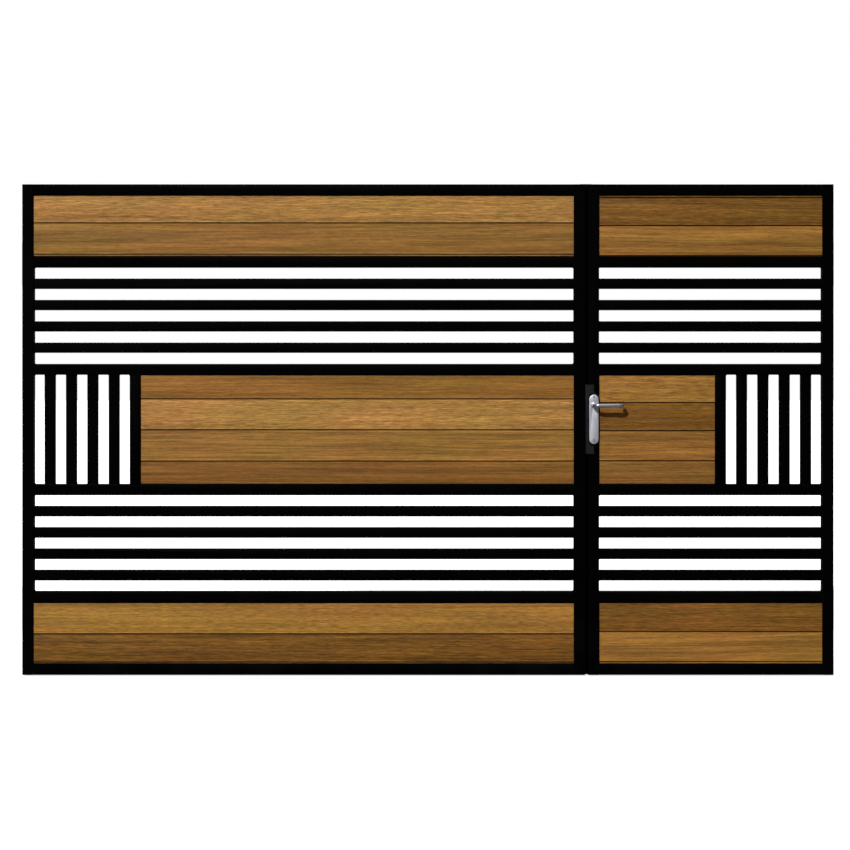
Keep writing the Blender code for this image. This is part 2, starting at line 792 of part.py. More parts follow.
def make_lock_case(pivot, spindle_hole):
    """The lock's case: a full-depth block at the leaf's edge, narrower inside the stile.

    It is hollow and open towards the stile's far wall.
    """
    left = FACEPLATE_X + FACEPLATE + GAP
    step = NARROW_EDGE + CASE_WIDTH
    right = NARROW_EDGE + TUBE - TUBE_WALL - GAP
    item = make_box(
        "lock_case", (left, -HALF_TUBE, CASE_LOW), (right, HALF_TUBE, CASE_HIGH)
    )
    inner_half = HALF_TUBE - TUBE_WALL - GAP
    below = CASE_LOW - TUBE
    above = CASE_HIGH + TUBE
    steps = [
        ((step, -TUBE, below), (right + TUBE, -inner_half, above)),
        ((step, inner_half, below), (right + TUBE, TUBE, above)),
    ]
    cut(item, box_cutter("lock_case_steps", steps))
    cavity_half = inner_half - CASE_SIDE_WALL
    cavity = (
        (left + CASE_WALL, -cavity_half, CASE_LOW + CASE_SIDE_WALL),
        (right + TUBE, cavity_half, CASE_HIGH - CASE_SIDE_WALL),
    )
    cut(item, box_cutter("lock_case_cavity", [cavity]))
    hole = latch_span(left - CASE_WALL, left + 2 * CASE_WALL, RUNNING)
    cut(item, box_cutter("lock_case_latch_hole", [hole]))
    cut(item, spindle_hole)
    finish_part(item, LOCK_PAINT, pivot)


def make_spindle(pivot):
    """Square spindle with its follower: a hub and an arm that draws the latch back."""
    reach = HALF_TUBE + BACKPLATE_STANDOFF + BACKPLATE_THICKNESS + SOCKET_DEPTH - RUNNING
    half = SPINDLE_SIDE / 2
    item = make_box(
        "spindle",
        (SPINDLE_X - half, -reach, LOCK_HEIGHT - half),
        (SPINDLE_X + half, reach, LOCK_HEIGHT + half),
    )
    hub_half = HALF_TUBE - TUBE_WALL - GAP - CASE_SIDE_WALL - GAP
    hub = make_cylinder(
        "spindle_hub", (SPINDLE_X, 0, LOCK_HEIGHT), HUB_RADIUS, 2 * hub_half, axis="Y"
    )
    join(item, hub)
    arm_loop = [(ARM_HALF_WIDTH, 0)] + arc((0, ARM_LENGTH), ARM_HALF_WIDTH, 0, 180, 8)
    arm_loop.append((-ARM_HALF_WIDTH, 0))
    arm = make_outline(
        "spindle_arm",
        [arm_loop],
        2 * ARM_HALF_DEPTH,
        (SPINDLE_X, 0, LOCK_HEIGHT),
        (math.pi / 2, 0, 0),
    )
    join(item, arm)
    finish_part(item, STEEL, pivot)


def make_latch(pivot):
    """Bevelled latch with a window over the follower's arm and a shoulder behind it."""
    nose = FACEPLATE_X - LATCH_THROW
    shoulder = SPINDLE_X + ARM_HALF_WIDTH + ARM_PLAY
    half = LATCH_DEPTH / 2
    outline = [
        (nose, half),
        (nose, half - LATCH_NOSE),
        (nose + LATCH_BEVEL, -half),
        (shoulder + SHOULDER, -half),
        (shoulder + SHOULDER, half),
    ]
    bottom = LOCK_HEIGHT + LATCH_BOTTOM
    item = make_outline(
        "latch_bolt", [outline], LATCH_HEIGHT, (0, 0, bottom + LATCH_HEIGHT / 2)
    )
    swing = ARM_LENGTH * math.sin(HANDLE_TURN)
    lean = LATCH_BOTTOM * math.tan(HANDLE_TURN) - ARM_HALF_WIDTH / math.cos(HANDLE_TURN)
    window_left = SPINDLE_X + lean - swing - 4 * ARM_PLAY
    window_left = min(window_left, SPINDLE_X - ARM_HALF_WIDTH - 2 * ARM_PLAY)
    window_top = LOCK_HEIGHT + ARM_LENGTH + ARM_HALF_WIDTH + 2 * ARM_PLAY
    window = ((window_left, -TUBE, bottom - TUBE), (shoulder, TUBE, window_top))
    cut(item, box_cutter("latch_window", [window]))
    finish_part(item, STEEL, pivot)


# ---------------------------------------------------------------- handles


def stadium(width, height, steps=12):
    """An upright outline with round ends, about its middle."""
    radius = width / 2
    rise = height / 2 - radius
    return arc((0, rise), radius, 0, 180, steps) + arc((0, -rise), radius, 180, 360, steps)


def make_backplate(name, side, pivot):
    """Handle plate with round ends and a hole for the spindle; side is -1 at the front."""
    inner = HALF_TUBE + BACKPLATE_STANDOFF
    centre = (SPINDLE_X, side * (inner + BACKPLATE_THICKNESS / 2), CASE_MIDDLE)
    hole = circle((0, CASE_DROP), SPINDLE_SIDE * math.sqrt(0.5) + RUNNING, sides=24)
    item = make_outline(
        name,
        [stadium(BACKPLATE_WIDTH, BACKPLATE_HEIGHT), hole],
        BACKPLATE_THICKNESS,
        centre,
        (math.pi / 2, 0, 0),
    )
    smooth(item)
    finish_part(item, HANDLE_METAL, pivot)


def lever_route(side):
    """The lever's axis: out from the plate, along, and back towards the leaf."""
    start = HALF_TUBE + BACKPLATE_STANDOFF + BACKPLATE_THICKNESS + GAP
    turn = HALF_TUBE + LEVER_STANDOFF - LEVER_BEND
    flat = [(0, start, 1.15), (0, turn - 0.004, 1.15), (0, turn, 1.0)]
    for x, y in arc((LEVER_BEND, turn), LEVER_BEND, 180, 90, 6)[1:]:
        flat.append((x, y, 1.0))
    for x, y in arc((LEVER_LENGTH - LEVER_BEND, turn), LEVER_BEND, 90, 0, 6):
        flat.append((x, y, 1.0))
    straight_end = HALF_TUBE + LEVER_RETURN + LEVER_RADIUS / 2
    for angle in (0, 30, 55, 75):
        turned = math.radians(angle)
        reach = straight_end - LEVER_RADIUS / 2 * math.sin(turned)
        flat.append((LEVER_LENGTH, reach, math.cos(turned)))
    return [((SPINDLE_X + x, side * y, LOCK_HEIGHT), share) for x, y, share in flat]


def make_lever(name, side, pivot):
    """U-shaped round lever with a square socket for the spindle."""
    item = make_rod(name, lever_route(side), LEVER_RADIUS, sides=20)
    half = SPINDLE_SIDE / 2 + SPINDLE_PLAY
    start = HALF_TUBE
    end = HALF_TUBE + BACKPLATE_STANDOFF + BACKPLATE_THICKNESS + SOCKET_DEPTH
    ends = sorted((side * start, side * end))
    socket = (
        (SPINDLE_X - half, ends[0], LOCK_HEIGHT - half),
        (SPINDLE_X + half, ends[1], LOCK_HEIGHT + half),
    )
    cut(item, box_cutter(name + "_socket", [socket]))
    smooth(item)
    finish_part(item, HANDLE_METAL, pivot)


# ---------------------------------------------------------------- drop bolt


def make_drop_bolt_guide(pivot):
    """Plate with two staples on the rear of the wide leaf's meeting stile."""
    front = HALF_TUBE + GAP
    half = GUIDE_WIDTH / 2
    item = make_box(
        "drop_bolt_guide",
        (ROD_X - half, front, GUIDE_BOTTOM),
        (ROD_X + half, front + GUIDE_PLATE, GUIDE_BOTTOM + GUIDE_HEIGHT),
    )
    reach = ROD_RADIUS + RUNNING + STAPLE_WALL
    wing = ROD_RADIUS + RUNNING + STAPLE_WALL / 2
    base = front + GUIDE_PLATE / 2 - ROD_REAR
    loop = [(-wing, base), (wing, base)]
    loop += arc((0, 0), wing, 0, 180, 16)
    hole = circle((0, 0), ROD_RADIUS + RUNNING)
    for end in (GUIDE_BOTTOM + reach, GUIDE_BOTTOM + GUIDE_HEIGHT - reach):
        staple = make_outline(
            "drop_bolt_staple", [loop, hole], STAPLE_HEIGHT, (ROD_X, ROD_REAR, end)
        )
        join(item, staple)
    smooth(item)
    finish_part(item, HINGE_PAINT, pivot)


def make_drop_bolt(pivot):
    """Round bolt with its top bent over as a grip."""
    top = slat_starts(*field_below(1))[ROD_SLAT] + SLAT_WIDTH / 2
    turn = top - ROD_BEND
    route = [((ROD_X, ROD_REAR, ROD_BOTTOM), 0.8)]
    route.append(((ROD_X, ROD_REAR, ROD_BOTTOM + ROD_RADIUS / 4), 1.0))
    for x, z in arc((-ROD_BEND, turn), ROD_BEND, 0, 90, 6):
        route.append(((ROD_X + x, ROD_REAR, z), 1.0))
    route.append(((ROD_X - ROD_GRIP + ROD_RADIUS / 4, ROD_REAR, top), 1.0))
    route.append(((ROD_X - ROD_GRIP, ROD_REAR, top), 0.8))
    item = make_rod("drop_bolt", route, ROD_RADIUS)
    smooth(item)
    finish_part(item, STEEL, pivot)


# ---------------------------------------------------------------- assembly

clear_scene()
GATE = make_collection("garden_gate")
CUTTERS = make_collection("cutters")
FRAME_PAINT = make_material("frame_paint", (0.004, 0.004, 0.005), 0.42, 0.0)
HINGE_PAINT = make_material("hinge_paint", (0.006, 0.006, 0.007), 0.5, 0.0)
LOCK_PAINT = make_material("lock_paint", (0.015, 0.015, 0.015), 0.5, 0.2)
HANDLE_METAL = make_material("handle_metal", (0.34, 0.34, 0.37), 0.3, 1.0)
STEEL = make_material("zinc_steel", (0.45, 0.45, 0.45), 0.4, 1.0)
BOARD_TONES = {
    "dark": make_material("board_dark", (0.178, 0.076, 0.014), 0.5, 0.0),
    "medium": make_material("board_medium", (0.263, 0.122, 0.028), 0.5, 0.0),
    "light": make_material("board_light", (0.376, 0.190, 0.056), 0.5, 0.0),
}

spindle_way = make_spindle_hole()
post_mount = make_pivot("posts", (0, 0, 0))
leaf_pivots = {}
for gate_leaf in (WIDE, NARROW):
    hinge_x = -gate_leaf.inward * PIN_X
    leaf_pivot = make_pivot(gate_leaf.name + "_leaf_axis", (hinge_x, PIN_AXIS_REAR, 0))
    leaf_pivots[gate_leaf.name] = leaf_pivot
    stiles = make_stiles(gate_leaf, leaf_pivot)
    if gate_leaf is NARROW:
        cut_lock_recess(stiles[1], spindle_way)
    else:
        cut_strike_recess(stiles[1])
    make_rails(gate_leaf, leaf_pivot)
    make_mullion(gate_leaf, leaf_pivot)
    make_slat_fields(gate_leaf, leaf_pivot)
    make_leaf_boards(gate_leaf, leaf_pivot)
    make_hinges(gate_leaf, leaf_pivot, post_mount)

make_strike_plate(leaf_pivots["left"])
make_drop_bolt_guide(leaf_pivots["left"])
bolt_pivot = make_pivot("drop_bolt_axis", (ROD_X, ROD_REAR, ROD_BOTTOM))
make_drop_bolt(bolt_pivot)

make_meeting_strip(leaf_pivots["right"])
make_faceplate(leaf_pivots["right"])
make_lock_case(leaf_pivots["right"], spindle_way)
handle_pivot = make_pivot("handle_axis", (SPINDLE_X, 0, LOCK_HEIGHT))
make_spindle(handle_pivot)
latch_pivot = make_pivot("latch_axis", (FACEPLATE_X, 0, LOCK_HEIGHT + LATCH_BOTTOM))
make_latch(latch_pivot)
for label, facing in (("front", -1), ("rear", 1)):
    make_backplate(label + "_backplate", facing, leaf_pivots["right"])
    make_lever(label + "_lever", facing, handle_pivot)
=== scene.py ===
import math

import bmesh
import bpy
from mathutils import Matrix, Vector


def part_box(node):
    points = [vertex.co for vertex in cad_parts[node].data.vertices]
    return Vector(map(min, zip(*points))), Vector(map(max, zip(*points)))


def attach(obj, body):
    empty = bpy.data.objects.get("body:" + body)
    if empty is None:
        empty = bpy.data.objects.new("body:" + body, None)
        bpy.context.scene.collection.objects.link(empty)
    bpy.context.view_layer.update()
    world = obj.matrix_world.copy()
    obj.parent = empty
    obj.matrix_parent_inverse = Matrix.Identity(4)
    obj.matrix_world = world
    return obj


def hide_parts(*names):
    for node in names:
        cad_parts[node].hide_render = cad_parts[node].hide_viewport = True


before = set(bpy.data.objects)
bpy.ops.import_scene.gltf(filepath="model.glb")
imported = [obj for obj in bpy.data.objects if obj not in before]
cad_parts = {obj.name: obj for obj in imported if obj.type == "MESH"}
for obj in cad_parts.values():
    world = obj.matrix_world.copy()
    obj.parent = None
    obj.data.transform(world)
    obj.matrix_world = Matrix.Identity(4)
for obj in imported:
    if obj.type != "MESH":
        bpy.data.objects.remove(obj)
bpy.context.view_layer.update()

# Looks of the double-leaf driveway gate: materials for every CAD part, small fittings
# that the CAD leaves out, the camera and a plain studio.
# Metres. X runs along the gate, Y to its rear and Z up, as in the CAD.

# ---- the photograph's view ----
CAMERA_PLACE = (0.0, -7.32, 1.196)
LENS = 84.3
SENSOR = 36.0
FRAME_SHIFT = (-0.0034, -0.0882)

# ---- studio ----
KEY_TRAVEL = Vector((24, 55, -37))   # the way the key light travels
KEY_STRENGTH = 3.32
KEY_SPREAD = math.radians(2.8)
ZENITH = 0.60              # fill light from straight above
HORIZON = 0.08
NADIR = 0.22

# ---- sizes shared with the CAD ----
FACE = 0.020               # from the leaf's mid-plane to its faces
SLAT_WIDTH = 0.038
SLAT_FACE = 0.0125
SLAT_COUNT = 4
BOARD_PLAY = 0.001         # gap round each field of boards
POST_PLATE_X = 1.492       # inner face of the post brackets' plates
BRACKET_HALF_WIDTH = 0.020
BRACKET_HOLE_EDGE = 0.020
EYE_PLATE_WIDTH = 0.034

# ---- fittings ----
WELD_RADIUS = 0.0026
SLAT_WELD = 0.0016         # radius of the seams round the slats
FLUSH_WELD_DEPTH = 0.0022  # how deep a dressed seam lies in the tube's face
WELD_RIPPLE = 0.0024
TUBE_CORNER = 0.0022       # outside corner radius of the frame tube
SLAT_CORNER = 0.0016
BAR_WIDTH = 0.012          # of the bars that hold the boards at the rear
BAR_MIDDLE_WIDTH = 0.030
BAR_PITCH = 0.52           # at most, between the upright bars
STRIP_SCREW_X = 0.595
STRIP_SCREW_HEIGHTS = (0.07, 0.35, 0.63, 1.19, 1.47, 1.74)
LOCK_SCREW_EDGE = 0.013    # from the ends of the faceplate and the strike plate

# ---- lever, as in the CAD: its axis and radius ----
LEVER_RADIUS = 0.0075
LEVER_BEND = 0.014
LEVER_LENGTH = 0.101
LEVER_START = 0.0303       # distances from the leaf's mid-plane
LEVER_GRIP = 0.070
LEVER_TIP = 0.042

# ---- handle plates ----
PLATE_REACH = 0.030        # from the mid-plane to a plate's face
SCREW_HEIGHTS = (1.0238, 0.8663)

GROOVE_SHADE_LEVEL = 0.12         # how dark the painted shade in a board's V grooves is

# ---- sRGB tones of the oiled boards, and each band's boards from the lowest up ----
PALE = (166, 122, 69)
HONEY = (156, 111, 54)
TAN = (144, 103, 53)
CHESTNUT = (138, 96, 45)
BROWN = (126, 86, 40)
DARK = (116, 78, 30)
BOARD_TONES = {
    "left_top_board": (TAN, PALE),
    "left_middle_board": (BROWN, TAN, PALE, CHESTNUT),
    "left_bottom_board": (DARK, HONEY),
    "right_top_board": (CHESTNUT, DARK),
    "right_middle_board": (BROWN, CHESTNUT, DARK, HONEY),
    "right_bottom_board": (CHESTNUT, DARK),
}
FLECKED = (PALE, HONEY, DARK)
# V grooves inside a board, as heights above the band's lower edge, as in the CAD
GROOVES = {
    "left_top_board": (0.0084,),
    "left_bottom_board": (0.0066,),
    "right_top_board": (0.0038, 0.2166),
    "right_bottom_board": (0.0082,),
}


# ---------------------------------------------------------------- shader helper


class Shader:
    """A material being made, with one short call for each shader node."""

    def __init__(self, name):
        self.material = bpy.data.materials.new(name)
        self.material.use_nodes = True
        self.tree = self.material.node_tree
        self.surface = self.tree.nodes["Principled BSDF"]

    def feed(self, socket, value):
        """Link a socket, or set its number."""
        if isinstance(value, bpy.types.NodeSocket):
            self.tree.links.new(value, socket)
        else:
            socket.default_value = value

    def node(self, kind, inputs, **settings):
        """A new node with its settings and inputs; gives back the node."""
        made = self.tree.nodes.new("ShaderNode" + kind)
        for name, value in settings.items():
            setattr(made, name, value)
        for key, value in inputs.items():
            self.feed(made.inputs[key], value)
        return made

    def finish(self, **values):
        """Feed the surface's sockets; underscores in the names stand for spaces."""
        for name, value in values.items():
            self.feed(self.surface.inputs[name.replace("_", " ")], value)
        return self.material

    def place(self):
        """Coordinates in metres that stay with the part."""
        return self.node("TexCoord", {}).outputs["Object"]

    def vector(self, operation, first, second):
        return self.node("VectorMath", {0: first, 1: second}, operation=operation).outputs[0]

    def scaled(self, place, scale, shift=(0, 0, 0)):
        """Coordinates moved, then scaled along each axis."""
        return self.vector("MULTIPLY", self.vector("ADD", place, shift), scale)

    def noise(self, place, detail=2.0, roughness=0.5, distortion=0.0):
        inputs = {"Vector": place, "Scale": 1.0, "Detail": detail}
        inputs["Roughness"] = roughness
        inputs["Distortion"] = distortion
        return self.node("TexNoise", inputs).outputs[0]

    def math(self, operation, first, second=0.0):
        return self.node("Math", {0: first, 1: second}, operation=operation).outputs[0]

    def spread(self, value, low, high, start=0.0, end=1.0):
        """A value mapped from one range to another, and held at its ends."""
        inputs = {0: value, 1: low, 2: high, 3: start, 4: end}
        return self.node("MapRange", inputs, clamp=True).outputs[0]

    def axis(self, place, name):
        """One coordinate out of three."""
        return self.node("SeparateXYZ", {0: place}).outputs[name]

    def mix(self, share, first, second):
        """A colour between two."""
        return self.node("Mix", {0: share, 6: first, 7: second}, data_type="RGBA").outputs[2]

    def tinted(self, colour, amount):
        """A colour made lighter or darker."""
        if not isinstance(colour, bpy.types.NodeSocket):
            colour = colour[:3]
        made = self.node("VectorMath", {0: colour, "Scale": amount}, operation="SCALE")
        return made.outputs[0]

    def bump(self, height, distance, strength=1.0):
        inputs = {"Height": height, "Distance": distance, "Strength": strength}
        return self.node("Bump", inputs).outputs[0]


def linear(colour):
    """An sRGB colour of three bytes as linear light, with an alpha of 1."""
    values = []
    for value in colour:
        share = value / 255
        values.append(share / 12.92 if share < 0.04045 else ((share + 0.055) / 1.055) ** 2.4)
    return (*values, 1.0)


def weighed(colour, weights):
    """A linear colour with each channel multiplied."""
    return (*(value * weight for value, weight in zip(colour, weights)), 1.0)


# ---------------------------------------------------------------- materials


def board_wood(name, colour, order, lines):
    """Oiled hardwood with its grain along X; lines are the heights of its V grooves."""
    shade = Shader(name)
    pale = colour in (PALE, HONEY)
    base = weighed(linear(colour), (1.0, 1.0, 0.82))
    shift = (7.31 * order, 1.73 * order, 3.19 * order)
    still = shade.place()
    wander = shade.noise(shade.scaled(still, (1.3, 2.0, 6.0), shift), detail=1.0)
    lift = shade.node("CombineXYZ", {2: shade.spread(wander, 0.3, 0.7, -0.006, 0.006)}).outputs[0]
    place = shade.vector("ADD", still, lift)

    hue = shade.noise(shade.scaled(place, (1.7, 2.0, 9.0), shift), detail=2.0)
    olive = weighed(base, (0.97, 1.015, 0.92))
    ruddy = weighed(base, (1.055, 0.98, 1.03))
    tone = shade.mix(shade.spread(hue, 0.38, 0.62), olive, ruddy)

    broad = shade.noise(shade.scaled(place, (0.9, 12.0, 42.0), shift), detail=3.0)
    streak = shade.noise(shade.scaled(place, (3.2, 60.0, 190.0), shift), 4.0, 0.62)
    fleck = shade.noise(shade.scaled(place, (26.0, 120.0, 330.0), shift), 3.0, 0.65)
    fibre = shade.noise(shade.scaled(place, (18.0, 300.0, 1300.0), shift), 2.0, 0.6)
    pore = shade.noise(shade.scaled(place, (70.0, 500.0, 2100.0), shift), 1.0, 0.5)

    broad_share = 0.17 if pale else 0.26
    streak_share = 0.26 if pale else 0.38
    fleck_share = 0.42 if colour in FLECKED else 0.22
    level = shade.spread(broad, 0.3, 0.7, 1 - broad_share, 1 + broad_share)
    streaks = shade.spread(streak, 0.3, 0.7, 1 - streak_share, 1 + streak_share)
    level = shade.math("MULTIPLY", level, streaks)
    flecks = shade.spread(fleck, 0.34, 0.7, 1 - fleck_share, 1 + fleck_share * 0.8)
    level = shade.math("MULTIPLY", level, flecks)
    level = shade.math("MULTIPLY", level, shade.spread(fibre, 0.3, 0.7, 0.85, 1.15))
    pores = shade.spread(pore, 0.60, 0.68)
    level = shade.math("MULTIPLY", level, shade.spread(pores, 0, 1, 1.0, 0.62))

    height = shade.axis(still, "Z")
    # Painted shade: the colour darkens sharply within 3.4 mm of each V groove's line, darkest within 1.4
    # mm.
    for line in lines:
        above = shade.math("SUBTRACT", height, line)
        away = shade.math("ABSOLUTE", above)
        groove_shade = shade.spread(away, 0.0014, 0.0034, GROOVE_SHADE_LEVEL, 1.0)
        level = shade.math("MULTIPLY", level, groove_shade)
        # A band up to 22 percent lighter, 2 to 8 mm above each groove line.
        from_arris = shade.math("ABSOLUTE", shade.math("SUBTRACT", above, 0.0050))
        lighter_band = shade.spread(from_arris, 0, 0.003, 1, 0)
        level = shade.math("MULTIPLY", level, shade.spread(lighter_band, 0, 1, 1.0, 1.22))

    relief = shade.math("ADD", shade.math("MULTIPLY", streak, 0.6), shade.math("MULTIPLY", fibre, 0.5))
    relief = shade.math("SUBTRACT", relief, shade.math("MULTIPLY", pores, 0.4))
    return shade.finish(
        Base_Color=shade.tinted(tone, level),
        Roughness=shade.spread(streak, 0.3, 0.7, 0.62, 0.48),
        Normal=shade.bump(relief, 0.0006, 0.7),
        Specular_IOR_Level=0.12,
    )


def powder_coat(name, colour, roughness, specular=0.25):
    """Matt powder coat: fine orange peel, faint patches, and dust low down."""
    shade = Shader(name)
    place = shade.place()
    peel = shade.noise(shade.scaled(place, (620, 620, 620)), 2.0, 0.5)
    grit = shade.noise(shade.scaled(place, (2100, 2100, 2100)), 1.0, 0.5)
    patch = shade.noise(shade.scaled(place, (4.0, 4.0, 4.0)), 4.0, 0.6)
    base = (*colour, 1.0)
    dusty = (*(value + 0.0010 for value in colour), 1.0)
    low = shade.spread(shade.axis(place, "Z"), 0.02, 0.45, 1.0, 0.0)
    dust = shade.math("MULTIPLY", low, shade.spread(patch, 0.42, 0.68))
    surface = shade.mix(dust, base, dusty)
    surface = shade.tinted(surface, shade.spread(patch, 0.3, 0.7, 0.85, 1.2))
    relief = shade.math("ADD", peel, shade.math("MULTIPLY", grit, 0.35))
    rough = shade.spread(patch, 0.3, 0.7, roughness - 0.05, roughness + 0.07)
    return shade.finish(
        Base_Color=surface,
        Roughness=rough,
        Normal=shade.bump(relief, 0.00025, 0.5),
        Specular_IOR_Level=specular,
    )


def brushed_metal(name, colour, roughness, brush):
    """Satin metal with fine brush lines; brush is the scale along each axis."""
    shade = Shader(name)
    place = shade.place()
    lines = shade.noise(shade.scaled(place, brush), 3.0, 0.6)
    cloud = shade.noise(shade.scaled(place, (28, 28, 28)), 3.0, 0.55)
    level = shade.math(
        "MULTIPLY",
        shade.spread(lines, 0.3, 0.7, 0.93, 1.06),
        shade.spread(cloud, 0.3, 0.7, 0.95, 1.04),
    )
    return shade.finish(
        Base_Color=shade.tinted((*colour, 1.0), level),
        Metallic=1.0,
        Roughness=shade.spread(lines, 0.3, 0.7, roughness - 0.05, roughness + 0.08),
        Normal=shade.bump(lines, 0.00004, 0.5),
    )


def zinc_plate(name):
    """Zinc-plated steel with a faint spangle and a few dull spots."""
    shade = Shader(name)
    place = shade.place()
    cells = shade.node("TexVoronoi", {"Vector": place, "Scale": 260.0}).outputs["Color"]
    spangle = shade.axis(cells, "X")
    dull = shade.spread(shade.noise(shade.scaled(place, (60, 60, 60)), 4.0, 0.6), 0.5, 0.66)
    level = shade.spread(spangle, 0, 1, 0.92, 1.08)
    level = shade.math("MULTIPLY", level, shade.spread(dull, 0, 1, 1.0, 0.72))
    rough = shade.math("ADD", shade.spread(spangle, 0, 1, 0.30, 0.38), shade.math("MULTIPLY", dull, 0.2))
    return shade.finish(
        Base_Color=shade.tinted((0.50, 0.51, 0.53, 1.0), level),
        Metallic=1.0,
        Roughness=rough,
        Normal=shade.bump(spangle, 0.00003, 0.4),
    )


def rubber(name):
    """Black gasket rubber with a fine grain and a little bloom."""
    shade = Shader(name)
    place = shade.place()
    grain = shade.noise(shade.scaled(place, (1500, 1500, 1500)), 2.0, 0.6)
    bloom = shade.noise(shade.scaled(place, (45, 45, 45)), 3.0, 0.6)
    return shade.finish(
        Base_Color=shade.mix(
            shade.spread(bloom, 0.4, 0.7), (0.0025, 0.0025, 0.0027, 1), (0.006, 0.006, 0.006, 1)
        ),
        Roughness=shade.spread(bloom, 0.3, 0.7, 0.65, 0.8),
        Normal=shade.bump(grain, 0.0001, 0.5),
        Specular_IOR_Level=0.02,
    )


FRAME_PAINT = powder_coat("frame_paint", (0.0003, 0.0003, 0.0004), 0.38, 0.02)
HINGE_PAINT = powder_coat("hinge_paint", (0.0020, 0.0020, 0.0023), 0.38, 0.12)
LOCK_PAINT = powder_coat("lock_paint", (0.0100, 0.0100, 0.0100), 0.36, 0.12)
PLATE_METAL = brushed_metal("plate_metal", (0.62, 0.63, 0.69), 0.44, (900, 900, 26))
LEVER_METAL = brushed_metal("lever_metal", (0.55, 0.55, 0.59), 0.26, (26, 900, 900))
SCREW_METAL = brushed_metal("screw_metal", (0.40, 0.40, 0.42), 0.34, (700, 700, 700))
ZINC = zinc_plate("zinc_steel")
RUBBER = rubber("gasket_rubber")


def coat(node, material):
    """Give a CAD node its material."""
    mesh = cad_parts[node].data
    mesh.materials.clear()
    mesh.materials.append(material)


def coat_cad_parts():
    """Materials for every CAD node."""
    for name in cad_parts:
        if "_board_" in name:
            continue
        if "hinge_eye" in name or "hinge_bracket" in name or name == "drop_bolt_guide":
            coat(name, HINGE_PAINT)
        elif "lock_" in name or name == "strike_plate":
            coat(name, LOCK_PAINT)
        elif "backplate" in name:
            coat(name, PLATE_METAL)
        elif "lever" in name:
            coat(name, LEVER_METAL)
        elif name in ("spindle", "latch_bolt", "drop_bolt"):
            coat(name, ZINC)
        else:
            coat(name, FRAME_PAINT)


def coat_boards():
    """A wood of its own for every board, so that no two have the same grain."""
    order = 0
    for band, tones in BOARD_TONES.items():
        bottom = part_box(band + "_1")[0].z - BOARD_PLAY
        boxes = [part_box(f"{band}_{index + 1}") for index in range(len(tones))]
        joints = [box[1].z for box in boxes[:-1]]
        grooves = [bottom + value for value in GROOVES.get(band, ())]
        for index, tone in enumerate(tones):
            order += 1
            low, high = boxes[index][0].z, boxes[index][1].z
            lines = [line for line in joints + grooves if low - 0.001 < line < high + 0.001]
            name = f"{band}_{index + 1}"
            coat(name, board_wood(name + "_wood", tone, order, lines))


# ---------------------------------------------------------------- rounded edges


def edge_group(name, axis, shortest):
    """Geometry nodes that weld a part's facets and mark the sharp edges to round.

    axis is 0, 1 or 2 for edges that run along it, or None for all of them.
    """
    group = bpy.data.node_groups.new(name, "GeometryNodeTree")
    for way in ("INPUT", "OUTPUT"):
        group.interface.new_socket("Geometry", in_out=way, socket_type="NodeSocketGeometry")
    new, link = group.nodes.new, group.links.new
    source = new("NodeGroupInput")
    merge = new("GeometryNodeMergeByDistance")
    merge.inputs["Distance"].default_value = 0.00001
    clear = new("GeometryNodeRemoveAttribute")
    clear.inputs["Name"].default_value = "custom_normal"
    store = new("GeometryNodeStoreNamedAttribute")
    store.data_type, store.domain = "FLOAT", "EDGE"
    store.inputs["Name"].default_value = "bevel_weight_edge"
    store.inputs["Value"].default_value = 1.0
    out = new("NodeGroupOutput")
    link(source.outputs[0], merge.inputs["Geometry"])
    link(merge.outputs[0], clear.inputs["Geometry"])
    link(clear.outputs[0], store.inputs["Geometry"])
    link(store.outputs[0], out.inputs[0])

    def compare(first, limit):
        made = new("ShaderNodeMath")
        made.operation = "GREATER_THAN"
        link(first, made.inputs[0])
        made.inputs[1].default_value = limit
        return made.outputs[0]

    def both(first, second):
        made = new("ShaderNodeMath")
        made.operation = "MULTIPLY"
        link(first, made.inputs[0])
        link(second, made.inputs[1])
        return made.outputs[0]

    chosen = compare(new("GeometryNodeInputMeshEdgeAngle").outputs["Unsigned Angle"], 0.7)
    ends = new("GeometryNodeInputMeshEdgeVertices")
    run = new("ShaderNodeVectorMath")
    run.operation = "SUBTRACT"
    link(ends.outputs["Position 1"], run.inputs[0])
    link(ends.outputs["Position 2"], run.inputs[1])
    length = new("ShaderNodeVectorMath")
    length.operation = "LENGTH"
    link(run.outputs[0], length.inputs[0])
    chosen = both(chosen, compare(length.outputs["Value"], shortest))
    if axis is not None:
        unit = new("ShaderNodeVectorMath")
        unit.operation = "NORMALIZE"
        link(run.outputs[0], unit.inputs[0])
        split = new("ShaderNodeSeparateXYZ")
        link(unit.outputs[0], split.inputs[0])
        size = new("ShaderNodeMath")
        size.operation = "ABSOLUTE"
        link(split.outputs[axis], size.inputs[0])
        chosen = both(chosen, compare(size.outputs[0], 0.99))
    link(chosen, store.inputs["Selection"])
    return group


def smooth_group():
    """Geometry nodes that shade smooth, with sharp edges left sharp."""
    group = bpy.data.node_groups.new("smooth_by_angle", "GeometryNodeTree")
    for way in ("INPUT", "OUTPUT"):
        group.interface.new_socket("Geometry", in_out=way, socket_type="NodeSocketGeometry")
    new, link = group.nodes.new, group.links.new
    faces = new("GeometryNodeSetShadeSmooth")
    edges = new("GeometryNodeSetShadeSmooth")
    edges.domain = "EDGE"
    edges.inputs["Shade Smooth"].default_value = False
    sharp = new("ShaderNodeMath")
    sharp.operation = "GREATER_THAN"
    sharp.inputs[1].default_value = 0.62
    link(new("GeometryNodeInputMeshEdgeAngle").outputs["Unsigned Angle"], sharp.inputs[0])
    link(new("NodeGroupInput").outputs[0], faces.inputs["Geometry"])
    link(faces.outputs[0], edges.inputs["Geometry"])
    link(sharp.outputs[0], edges.inputs["Selection"])
    link(edges.outputs[0], new("NodeGroupOutput").inputs[0])
    return group


SMOOTH = smooth_group()
LONG_EDGES = [edge_group("long_edges_" + name, axis, 0.3) for axis, name in enumerate("xyz")]
ALL_EDGES = edge_group("all_edges", None, 0.0)


